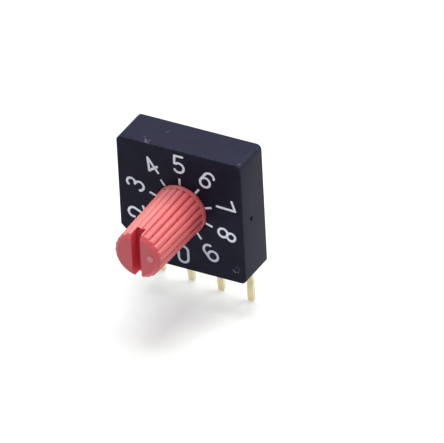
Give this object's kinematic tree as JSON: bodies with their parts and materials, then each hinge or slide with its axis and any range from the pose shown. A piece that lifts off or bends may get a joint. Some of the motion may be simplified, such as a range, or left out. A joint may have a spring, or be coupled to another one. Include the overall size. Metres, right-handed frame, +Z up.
{
  "type": "rotary coded switch",
  "caption": "Square board-mounted rotary coded switch with a numbered dial, a ribbed knob with a screwdriver slot, and a row of flat gold pins along its lower edge.",
  "frame": {"origin": "middle of the case's lower edge face, where the switch seats on a board", "axes": "+Z up from the board, +X to the right of the dial, -Y the way the knob points"},
  "size_m": [0.01, 0.0123, 0.0133],
  "materials": {
    "case_plastic": "fine moulded matt, near black with a blue cast",
    "white_print": "thin ink stamped flush into the face, slightly worn",
    "red_plastic": "moulded satin red",
    "seal_rubber": "smooth",
    "spring_steel": "drawn wire",
    "ball_steel": "polished",
    "brush_metal": "plated spring strip",
    "base_plastic": "glass-filled moulding",
    "gold_plate": "pale gold plate over a stamped strip",
    "resin": "poured resin, slightly wavy"
  },
  "bodies": {
    "housing": {"case": "case_plastic", "dial_print": "white_print", "contact_base": "base_plastic", "terminal_8": "gold_plate", "terminal_2": "gold_plate", "terminal_1": "gold_plate", "terminal_4": "gold_plate", "terminal_common": "gold_plate", "back_seal": "resin"},
    "rotor_unit": {"rotor": "red_plastic", "shaft_seal": "seal_rubber", "detent_spring": "spring_steel", "detent_ball_left": "ball_steel", "detent_ball_right": "ball_steel", "contact_brush": "brush_metal"}
  },
  "joints": [
    {"name": "rotor_turn", "type": "hinge", "parent": "housing", "child": "rotor_unit", "pos_m": [0, -0.0016, 0.00505], "axis": [0, 1, 0], "continuous": true}
  ]
}
